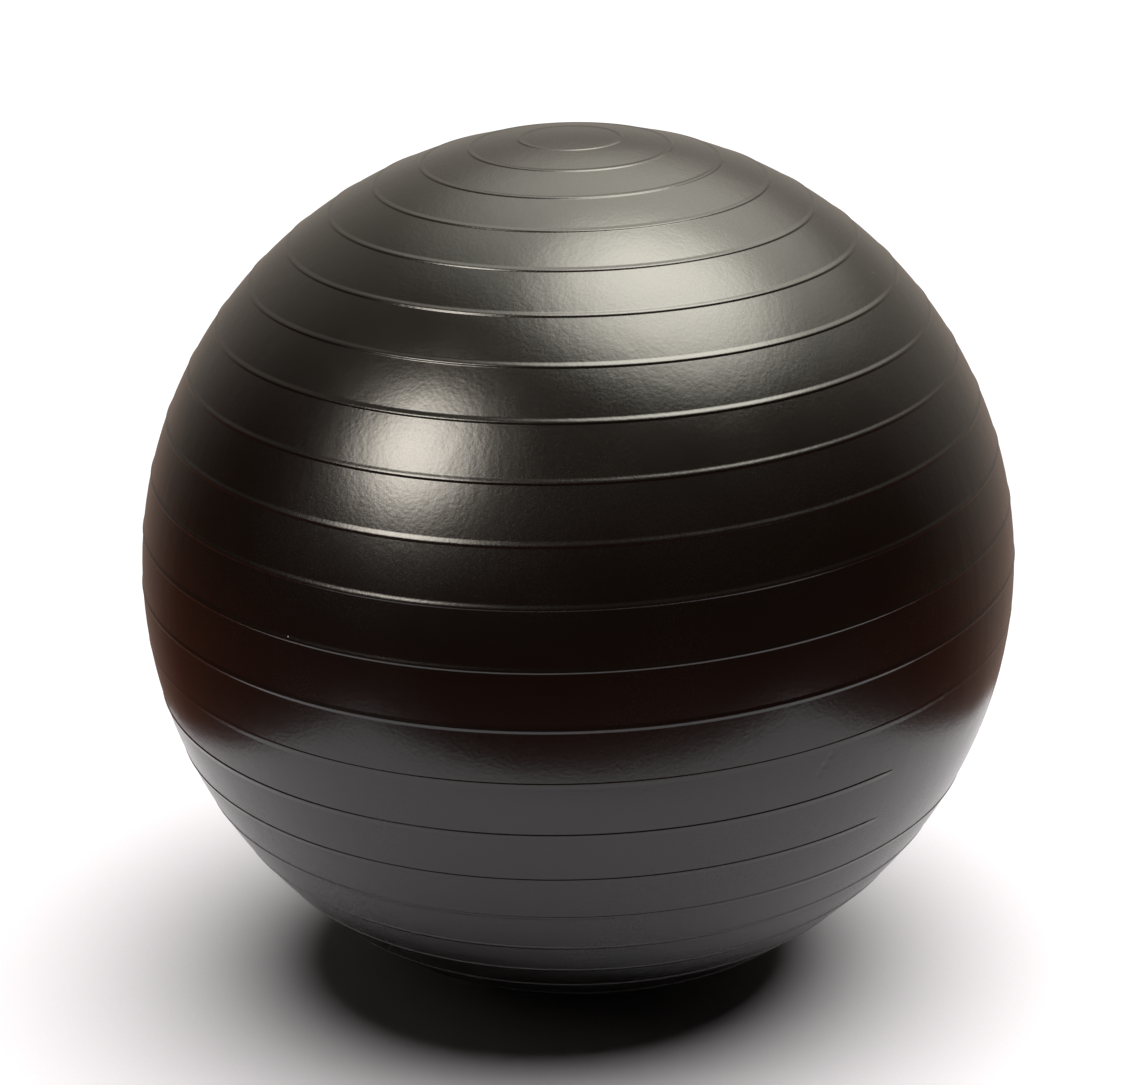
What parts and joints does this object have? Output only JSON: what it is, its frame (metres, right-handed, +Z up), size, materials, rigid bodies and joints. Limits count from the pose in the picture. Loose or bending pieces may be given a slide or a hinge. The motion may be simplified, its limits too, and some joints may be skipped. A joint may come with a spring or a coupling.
{
  "type": "exercise ball",
  "caption": "Inflated exercise ball with raised anti-slip rings, a smooth panel, a bonded valve seat and a pull-out plug.",
  "frame": {"origin": "middle of the flat on which the inflated ball rests, on the floor", "axes": "+Z up along the axis of the ribs, +X towards the valve and the smooth panel, -Y towards the viewer"},
  "size_m": [0.6508, 0.6508, 0.649],
  "materials": {
    "ball_skin": "plasticised PVC, near-black, satin-gloss, rotationally moulded",
    "valve_rubber": "soft PVC, near-black, satin",
    "plug_plastic": "white polyethylene, satin"
  },
  "bodies": {
    "ball": {"shell": "ball_skin", "valve_seat": "valve_rubber"},
    "plug": {"plug": "plug_plastic"}
  },
  "joints": [
    {"name": "plug_pull", "type": "slide", "parent": "ball", "child": "plug", "axis": [0.9483, 0, -0.3175], "range_m": [0, 0.032]}
  ]
}
